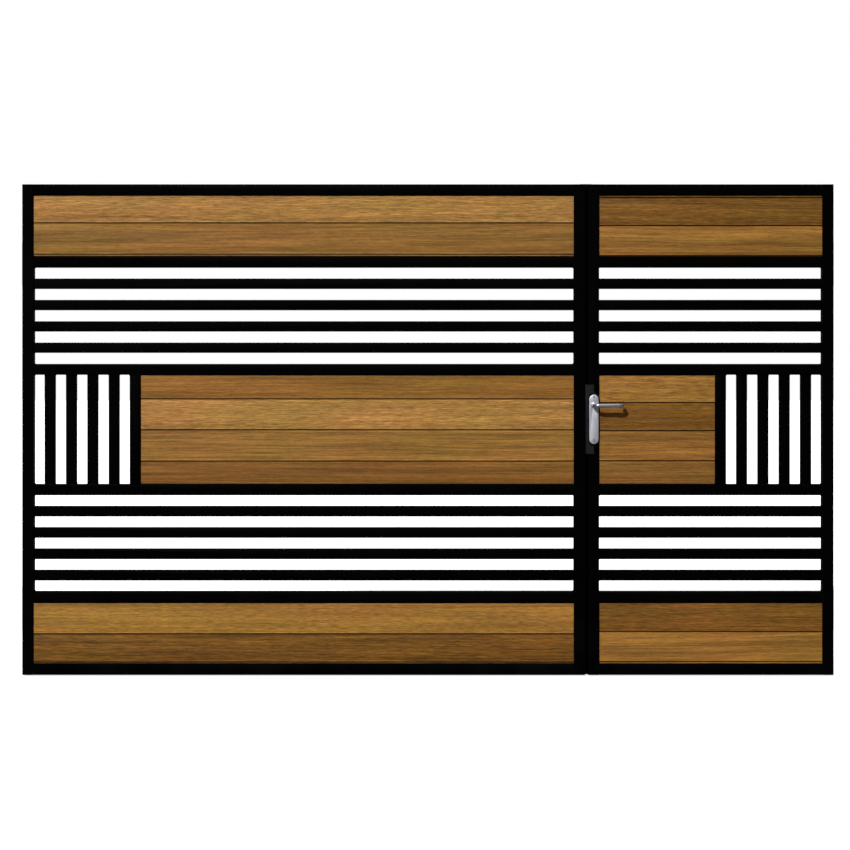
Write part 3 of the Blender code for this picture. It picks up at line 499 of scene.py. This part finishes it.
def round_edges(item, group, width, segments=3):
    """Round the edges that a group marks."""
    item.modifiers.new("mark", "NODES").node_group = group
    bevel = item.modifiers.new("round", "BEVEL")
    bevel.limit_method = "WEIGHT"
    bevel.width = width
    bevel.segments = segments
    item.modifiers.new("smooth", "NODES").node_group = SMOOTH


def round_cad_parts():
    """Corner radii on tube, slats, boards, plates and small steel."""
    for name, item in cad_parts.items():
        if "_board_" in name:
            round_edges(item, LONG_EDGES[0], 0.0005, 2)
        elif name.endswith("side_slats"):
            round_edges(item, LONG_EDGES[2], SLAT_CORNER)
        elif name.endswith("_slats"):
            round_edges(item, LONG_EDGES[0], SLAT_CORNER)
        elif name.endswith("_stile") or name.endswith("_mullion"):
            round_edges(item, LONG_EDGES[2], TUBE_CORNER)
        elif "_rail" in name:
            round_edges(item, LONG_EDGES[0], TUBE_CORNER)
        elif "backplate" in name:
            round_edges(item, ALL_EDGES, 0.0010)
        elif "hinge" in name or name == "drop_bolt_guide":
            round_edges(item, ALL_EDGES, 0.0007, 2)
        elif name != "lock_case":
            round_edges(item, ALL_EDGES, 0.0004, 2)
        else:
            round_edges(item, LONG_EDGES[2], 0.0004, 2)


# ---------------------------------------------------------------- mesh helpers


def loft(shell, loops):
    """Faces between loops of points that run the same way round, closed at both ends."""
    rings = [[shell.verts.new(point) for point in loop] for loop in loops]
    for first, second in zip(rings, rings[1:]):
        for step in range(len(first)):
            after = (step + 1) % len(first)
            shell.faces.new((first[step], first[after], second[after], second[step]))
    shell.faces.new(reversed(rings[0]))
    shell.faces.new(rings[-1])


def sweep(shell, route, radii, sides):
    """A round bar along a route, with a radius at every point."""
    loops = []
    side = None
    for index, place in enumerate(route):
        ahead = route[min(index + 1, len(route) - 1)] - route[max(index - 1, 0)]
        ahead.normalize()
        side = ahead.orthogonal() if side is None else side - ahead * side.dot(ahead)
        side.normalize()
        up = ahead.cross(side)
        loop = []
        for step in range(sides):
            turn = 2 * math.pi * step / sides
            reach = side * math.cos(turn) + up * math.sin(turn)
            loop.append(place + reach * radii[index])
        loops.append(loop)
    loft(shell, loops)


def turned(shell, base, way, rings, sides=24):
    """A piece turned about an axis. Each ring is (height, radius, corners); 0 is round."""
    spin = Vector(way).to_track_quat("Z", "X").to_matrix()
    loops = []
    for height, radius, corners in rings:
        loop = []
        for step in range(sides):
            turn = 2 * math.pi * step / sides
            reach = radius
            if corners:
                part = math.pi / corners
                reach *= math.cos(part) / math.cos(turn % (2 * part) - part)
            place = Vector((reach * math.cos(turn), reach * math.sin(turn), height))
            loop.append(Vector(base) + spin @ place)
        loops.append(loop)
    loft(shell, loops)


def block(shell, low, high):
    """A bar between two corners."""
    low, high = Vector(low), Vector(high)
    size = high - low
    matrix = Matrix.Translation((low + high) / 2) @ Matrix.Diagonal((*size, 1.0))
    bmesh.ops.create_cube(shell, size=1.0, matrix=matrix)


def add_piece(name, shell, material, body, corner=0.0):
    """A new piece that rides on a body, with its sharp edges rounded if corner is given."""
    bmesh.ops.recalc_face_normals(shell, faces=shell.faces)
    mesh = bpy.data.meshes.new(name)
    shell.to_mesh(mesh)
    shell.free()
    mesh.materials.append(material)
    item = bpy.data.objects.new(name, mesh)
    bpy.context.scene.collection.objects.link(item)
    if corner:
        round_edges(item, ALL_EDGES, corner, 2)
    else:
        item.modifiers.new("smooth", "NODES").node_group = SMOOTH
    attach(item, body)
    return item


# ---------------------------------------------------------------- fittings


def button_head(shell, base, way, radius, height):
    """A domed screw head with a six-sided socket."""
    rings = [(-0.001, radius, 0), (0.0, radius, 0), (0.35 * height, 0.96 * radius, 0)]
    rings += [(0.75 * height, 0.78 * radius, 0), (height, 0.52 * radius, 0)]
    rings += [(height, 0.46 * radius, 6), (0.3 * height, 0.43 * radius, 6)]
    turned(shell, base, way, rings)


def flush_head(shell, base, way, radius):
    """A countersunk screw head with a six-sided socket, level with its plate."""
    rings = [(-0.001, radius, 0), (0.0001, radius, 0), (0.0003, 0.94 * radius, 0)]
    rings += [(0.0003, 0.52 * radius, 0), (0.0003, 0.48 * radius, 6), (-0.0009, 0.44 * radius, 6)]
    turned(shell, base, way, rings)


def hex_bolt(shell, base, way):
    """An M10 hexagon head on its washer."""
    rings = [(0.0, 0.0105, 0), (0.0018, 0.0105, 0), (0.0020, 0.0102, 0), (0.0020, 0.0096, 6)]
    rings += [(0.0076, 0.0096, 6), (0.0084, 0.0080, 0), (0.0084, 0.0020, 0)]
    turned(shell, base, way, rings)


def weld(shell, start, end, radius=WELD_RADIUS):
    """A weld seam: a bead with ripples and rounded ends."""
    start, end = Vector(start), Vector(end)
    length = (end - start).length
    count = max(6, round(length / (WELD_RIPPLE / 4)))
    phase = 37.0 * start.x + 91.0 * start.z
    route, radii = [], []
    for step in range(count + 1):
        run = length * step / count
        near = min(1.0, (min(run, length - run) + 0.0003) / radius)
        ripple = 1 + 0.11 * math.sin(2 * math.pi * run / WELD_RIPPLE + phase)
        ripple += 0.05 * math.sin(190.0 * run + 2.3 * phase)
        radii.append(radius * math.sqrt(1 - (1 - near) ** 2) * ripple)
        route.append(start.lerp(end, step / count))
    sweep(shell, route, radii, 8)


def flush_welds(shell, x, low, high):
    """The two dressed seams across a tube joint at X, on the front and the rear."""
    for side in (-1, 1):
        y = side * (FACE - FLUSH_WELD_DEPTH)
        weld(shell, (x, y, low), (x, y, high))


def rail_welds(shell, leaf, inner_x):
    """Seams where a leaf's rails meet its stiles."""
    open_sides = {"inner_rail_1": 1, "inner_rail_2": -1, "inner_rail_3": 1, "inner_rail_4": -1}
    for rail in ("bottom_rail", *open_sides, "top_rail"):
        low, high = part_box(f"{leaf}_{rail}")
        for x in inner_x:
            flush_welds(shell, x, low.z + 0.002, high.z - 0.002)
            if rail in open_sides:
                z = high.z if open_sides[rail] > 0 else low.z
                weld(shell, (x, -0.017, z), (x, 0.017, z))


def mullion_welds(shell, leaf, hinge_x):
    """Seams round the mullion's ends, and of the middle rails beside the upright slats."""
    low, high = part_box(f"{leaf}_mullion")
    outer_x = low.x if abs(low.x - hinge_x) < abs(high.x - hinge_x) else high.x
    for z in (low.z, high.z):
        weld(shell, (outer_x, -0.017, z), (outer_x, 0.017, z))
        weld(shell, (hinge_x, -0.017, z), (hinge_x, 0.017, z))
        for side in (-1, 1):
            y = side * (FACE - FLUSH_WELD_DEPTH)
            weld(shell, (low.x + 0.002, y, z), (high.x - 0.002, y, z))


def slat_welds(shell, leaf, inner_x):
    """Seams round the ends of the slats."""
    for field in ("lower", "upper"):
        low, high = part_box(f"{leaf}_{field}_slats")
        pitch = (high.z - low.z - SLAT_WIDTH) / (SLAT_COUNT - 1)
        for index in range(SLAT_COUNT):
            bottom = low.z + pitch * index
            top = bottom + SLAT_WIDTH
            for x in inner_x:
                for z in (bottom, top):
                    weld(shell, (x, -SLAT_FACE + 0.001, z), (x, SLAT_FACE - 0.001, z), SLAT_WELD)
                for y in (-SLAT_FACE, SLAT_FACE):
                    weld(shell, (x, y, bottom + 0.001), (x, y, top - 0.001), SLAT_WELD)
    low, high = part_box(f"{leaf}_side_slats")
    ends = (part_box(f"{leaf}_inner_rail_2")[1].z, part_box(f"{leaf}_inner_rail_3")[0].z)
    pitch = (high.x - low.x - SLAT_WIDTH) / (SLAT_COUNT - 1)
    for index in range(SLAT_COUNT):
        left = low.x + pitch * index
        right = left + SLAT_WIDTH
        for z in ends:
            for x in (left, right):
                weld(shell, (x, -SLAT_FACE + 0.001, z), (x, SLAT_FACE - 0.001, z), SLAT_WELD)
            for y in (-SLAT_FACE, SLAT_FACE):
                weld(shell, (left + 0.001, y, z), (right - 0.001, y, z), SLAT_WELD)


def make_welds(leaf):
    """All the seams of a leaf, as one piece."""
    shell = bmesh.new()
    low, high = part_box(f"{leaf}_bottom_rail")
    inner_x = (low.x, high.x)
    hinge_x = low.x if leaf == "left" else high.x
    rail_welds(shell, leaf, inner_x)
    mullion_welds(shell, leaf, hinge_x)
    slat_welds(shell, leaf, inner_x)
    add_piece(f"{leaf}_welds", shell, FRAME_PAINT, f"{leaf}_leaf")


def make_hinge_welds(leaf):
    """Seams round the eye plates, as one piece."""
    shell = bmesh.new()
    for level in ("lower", "upper"):
        eye_low, eye_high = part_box(f"{leaf}_{level}_hinge_eye")
        side = -1 if leaf == "left" else 1
        outer = eye_low.x if side < 0 else eye_high.x
        inner = outer - side * EYE_PLATE_WIDTH
        for x in (outer, inner):
            weld(shell, (x, 0.0206, eye_low.z), (x, 0.0206, eye_high.z), 0.0022)
        for z in (eye_low.z, eye_high.z):
            weld(shell, (outer, 0.0206, z), (inner, 0.0206, z), 0.0022)
    add_piece(f"{leaf}_hinge_welds", shell, HINGE_PAINT, f"{leaf}_leaf")


def make_guide_welds():
    """Seams along the drop bolt's guide."""
    shell = bmesh.new()
    low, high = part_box("drop_bolt_guide")
    for x in (low.x, high.x):
        for z in (low.z + 0.006, (low.z + high.z) / 2 - 0.02, high.z - 0.046):
            weld(shell, (x, 0.0206, z), (x, 0.0206, z + 0.040), 0.0018)
    add_piece("guide_welds", shell, HINGE_PAINT, "left_leaf")


def make_post_bolts():
    """Bolts in the post brackets' holes."""
    shell = bmesh.new()
    for leaf, side in (("left", -1), ("right", 1)):
        for level in ("lower", "upper"):
            low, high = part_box(f"{leaf}_{level}_hinge_bracket")
            y = high.y - BRACKET_HALF_WIDTH
            for z in (low.z + BRACKET_HOLE_EDGE, high.z - BRACKET_HOLE_EDGE):
                hex_bolt(shell, (side * POST_PLATE_X, y, z), (-side, 0, 0))
    add_piece("post_bolts", shell, ZINC, "posts")


def make_board_bars(band, count, leaf):
    """Flat bars screwed behind one field of boards: a frame and upright fixing bars."""
    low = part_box(f"{band}_1")[0]
    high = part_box(f"{band}_{count}")[1]
    left, right = low.x - BOARD_PLAY - 0.0002, high.x + BOARD_PLAY + 0.0002
    bottom, top = low.z - BOARD_PLAY - 0.0002, high.z + BOARD_PLAY + 0.0002
    front, rear = high.y + 0.0003, 0.0190
    bars, heads = bmesh.new(), bmesh.new()
    for z in (bottom, top - BAR_WIDTH):
        block(bars, (left, front, z), (right, rear, z + BAR_WIDTH))
    spans = max(1, math.ceil((right - left) / BAR_PITCH))
    for index in range(spans + 1):
        middle = left + (right - left) * index / spans
        half = BAR_MIDDLE_WIDTH / 2 if 0 < index < spans else BAR_WIDTH / 2
        middle = min(max(middle, left + half), right - half)
        first, last = bottom + BAR_WIDTH + 0.0004, top - BAR_WIDTH - 0.0004
        block(bars, (middle - half, front, first), (middle + half, rear, last))
        for step in range(count):
            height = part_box(f"{band}_{step + 1}")
            z = (height[0].z + height[1].z) / 2
            button_head(heads, (middle, rear, z), (0, 1, 0), 0.0040, 0.0016)
    add_piece(f"{band}_bars", bars, FRAME_PAINT, f"{leaf}_leaf", 0.0008)
    add_piece(f"{band}_bar_screws", heads, ZINC, f"{leaf}_leaf")


def stadium(centre, width, height, y, steps=20):
    """An upright outline with round ends, facing along Y."""
    radius = width / 2
    rise = height / 2 - radius
    points = []
    for middle, start in ((rise, 0), (-rise, math.pi)):
        for step in range(steps + 1):
            turn = start + math.pi * step / steps
            x = centre[0] + radius * math.cos(turn)
            points.append(Vector((x, y, centre[1] + middle + radius * math.sin(turn))))
    return points


def make_gasket(name, side, width, height):
    """Rubber under a handle plate, a little larger than the plate."""
    low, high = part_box("front_backplate")
    centre = ((low.x + high.x) / 2, (low.z + high.z) / 2)
    shell = bmesh.new()
    loops = []
    for reach, inset in ((0.0201, 0.0), (0.0216, 0.0), (0.0221, 0.0012)):
        loops.append(stadium(centre, width - inset, height - inset, side * reach))
    loft(shell, loops)
    add_piece(name, shell, RUBBER, "right_leaf")


def make_plate_fittings(name, side):
    """Screws of a handle plate, and the ring round its lever's neck."""
    low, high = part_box("front_backplate")
    x = (low.x + high.x) / 2
    shell = bmesh.new()
    for z in SCREW_HEIGHTS:
        flush_head(shell, (x, side * (PLATE_REACH + 0.0001), z), (0, side, 0), 0.0042)
    add_piece(name + "_screws", shell, SCREW_METAL, "right_leaf")
    axis = lever_axis()
    shell = bmesh.new()
    rings = [(-0.001, 0.0110, 0), (0.0006, 0.0110, 0), (0.0012, 0.0106, 0), (0.0014, 0.0100, 0)]
    rings += [(0.0014, 0.0094, 0), (0.0011, 0.0091, 0), (-0.0006, 0.0091, 0)]
    turned(shell, (axis[0], side * PLATE_REACH, axis[1]), (0, side, 0), rings, 40)
    add_piece(name + "_neck_ring", shell, PLATE_METAL, "right_leaf")


def lever_axis():
    """X and Z of the handle's axis: the middle of the lever's neck."""
    low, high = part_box("front_lever")
    return low.x + 1.15 * LEVER_RADIUS, (low.z + high.z) / 2


def lever_route(side, x, z):
    """The lever's axis and radii: out, along, and back towards the leaf."""
    turn = LEVER_GRIP - LEVER_BEND
    flat = [(0, LEVER_START, 1.15), (0, LEVER_START + 0.006, 1.15), (0, turn - 0.010, 1.06), (0, turn, 1.0)]
    steps = 14
    for step in range(1, steps + 1):
        angle = math.radians(180 - 90 * step / steps)
        flat.append((LEVER_BEND * (1 + math.cos(angle)), turn + LEVER_BEND * math.sin(angle), 1.0))
    for step in range(steps + 1):
        angle = math.radians(90 - 90 * step / steps)
        along = LEVER_LENGTH - LEVER_BEND * (1 - math.cos(angle))
        flat.append((along, turn + LEVER_BEND * math.sin(angle), 1.0))
    for step in range(9):
        angle = math.radians(80 * step / 8)
        reach = LEVER_TIP + LEVER_RADIUS / 2 * (1 - math.sin(angle))
        flat.append((LEVER_LENGTH, reach, math.cos(angle)))
    return [(Vector((x + a, side * b, z)), LEVER_RADIUS * share) for a, b, share in flat]


def make_lever(name, side):
    """A smooth round lever in place of the faceted one, to the same size."""
    x, z = lever_axis()
    pairs = lever_route(side, x, z)
    shell = bmesh.new()
    sweep(shell, [pair[0] for pair in pairs], [pair[1] for pair in pairs], 40)
    item = add_piece(name + "_bar", shell, LEVER_METAL, "handle")
    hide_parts(name)


def make_lock_screws():
    """Flush screws in the lock's faceplate and in the strike plate."""
    low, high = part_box("lock_faceplate")
    shell = bmesh.new()
    for z in (low.z + LOCK_SCREW_EDGE, high.z - LOCK_SCREW_EDGE):
        flush_head(shell, (low.x, 0.0, z), (-1, 0, 0), 0.0036)
    add_piece("faceplate_screws", shell, ZINC, "right_leaf")
    low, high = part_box("strike_plate")
    shell = bmesh.new()
    for z in (low.z + LOCK_SCREW_EDGE, high.z - LOCK_SCREW_EDGE):
        flush_head(shell, (high.x, 0.0, z), (1, 0, 0), 0.0036)
    add_piece("strike_screws", shell, ZINC, "left_leaf")


def make_strip_screws():
    """Screws through the meeting strip into the narrow leaf's stile."""
    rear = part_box("meeting_strip")[1].y
    shell = bmesh.new()
    for z in STRIP_SCREW_HEIGHTS:
        button_head(shell, (STRIP_SCREW_X, rear, z), (0, 1, 0), 0.0038, 0.0019)
    add_piece("strip_screws", shell, ZINC, "right_leaf")


def make_foot_plugs(leaf):
    """Plastic plugs in the open feet of the stiles."""
    shell = bmesh.new()
    for stile in ("hinge_stile", "meeting_stile"):
        low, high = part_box(f"{leaf}_{stile}")
        block(shell, (low.x + 0.0028, -0.0172, low.z + 0.0006), (high.x - 0.0028, 0.0172, low.z + 0.012))
    add_piece(f"{leaf}_foot_plugs", shell, RUBBER, f"{leaf}_leaf", 0.0010)


def make_fittings():
    """Everything that the CAD leaves out."""
    for leaf in ("left", "right"):
        make_welds(leaf)
        make_hinge_welds(leaf)
        make_foot_plugs(leaf)
    for band, tones in BOARD_TONES.items():
        make_board_bars(band, len(tones), band.split("_")[0])
    make_guide_welds()
    make_post_bolts()
    make_strip_screws()
    make_lock_screws()
    make_gasket("front_gasket", -1, 0.041, 0.196)
    make_gasket("rear_gasket", 1, 0.037, 0.195)
    for name, side in (("front", -1), ("rear", 1)):
        make_plate_fittings(name + "_plate", side)
        make_lever(name + "_lever", side)


# ---------------------------------------------------------------- camera and studio


def make_camera():
    """The photograph's view: level, from straight in front, the gate slightly low."""
    lens = bpy.data.cameras.new("camera")
    lens.lens = LENS
    lens.sensor_width = SENSOR
    lens.shift_x, lens.shift_y = FRAME_SHIFT
    camera = bpy.data.objects.new("camera", lens)
    camera.location = CAMERA_PLACE
    camera.rotation_euler = (math.pi / 2, 0, 0)
    bpy.context.scene.collection.objects.link(camera)
    bpy.context.scene.camera = camera


def make_key_light():
    """One soft light from the upper left in front, as the lever's shadow shows."""
    lamp = bpy.data.lights.new("key", "SUN")
    lamp.energy = KEY_STRENGTH
    lamp.angle = KEY_SPREAD
    item = bpy.data.objects.new("key", lamp)
    item.rotation_euler = KEY_TRAVEL.to_track_quat("-Z", "Y").to_euler()
    bpy.context.scene.collection.objects.link(item)


def make_world():
    """White behind the gate; its light is bright above, dim at eye level and soft below."""
    world = bpy.data.worlds.new("studio")
    world.use_nodes = True
    tree = world.node_tree
    shade = Shader.__new__(Shader)
    shade.tree = tree
    way = shade.node("TexCoord", {}).outputs["Generated"]
    height = shade.axis(way, "Z")
    above = shade.spread(height, 0.05, 0.9, HORIZON, ZENITH)
    below = shade.spread(height, -0.9, -0.05, NADIR, HORIZON)
    fill = shade.node("Mix", {0: shade.math("GREATER_THAN", height), 2: below, 3: above})
    path = shade.node("LightPath", {}).outputs["Is Camera Ray"]
    white = shade.node("Mix", {0: path, 2: fill.outputs[0], 3: 1.0})
    tree.links.new(white.outputs[0], tree.nodes["Background"].inputs["Color"])
    bpy.context.scene.world = world


def make_floor():
    """Plain pale floor, level with the gate's lowest point, too bright to show an edge."""
    shell = bmesh.new()
    bmesh.ops.create_grid(shell, x_segments=8, y_segments=8, size=40.0)
    mesh = bpy.data.meshes.new("floor")
    shell.to_mesh(mesh)
    shell.free()
    floor = bpy.data.objects.new("floor", mesh)
    floor.location = (0, 0, -0.001)
    floor.visible_diffuse = False
    floor.visible_glossy = False
    bpy.context.scene.collection.objects.link(floor)
    shade = Shader("floor_pale")
    place = shade.place()
    cloud = shade.noise(shade.scaled(place, (0.8, 0.8, 0.8)), 3.0, 0.5)
    shade.finish(
        Base_Color=shade.mix(cloud, (0.80, 0.80, 0.80, 1), (0.84, 0.84, 0.84, 1)),
        Roughness=0.9,
        Emission_Color=(1, 1, 1, 1),
        Emission_Strength=0.72,
        Specular_IOR_Level=0.0,
    )
    mesh.materials.append(shade.material)


def make_studio():
    """World, floor and light."""
    bpy.context.scene.view_settings.view_transform = "Standard"
    make_world()
    make_floor()
    make_key_light()


# ---------------------------------------------------------------- the scene

make_camera()
make_studio()
coat_cad_parts()
coat_boards()
round_cad_parts()
make_fittings()
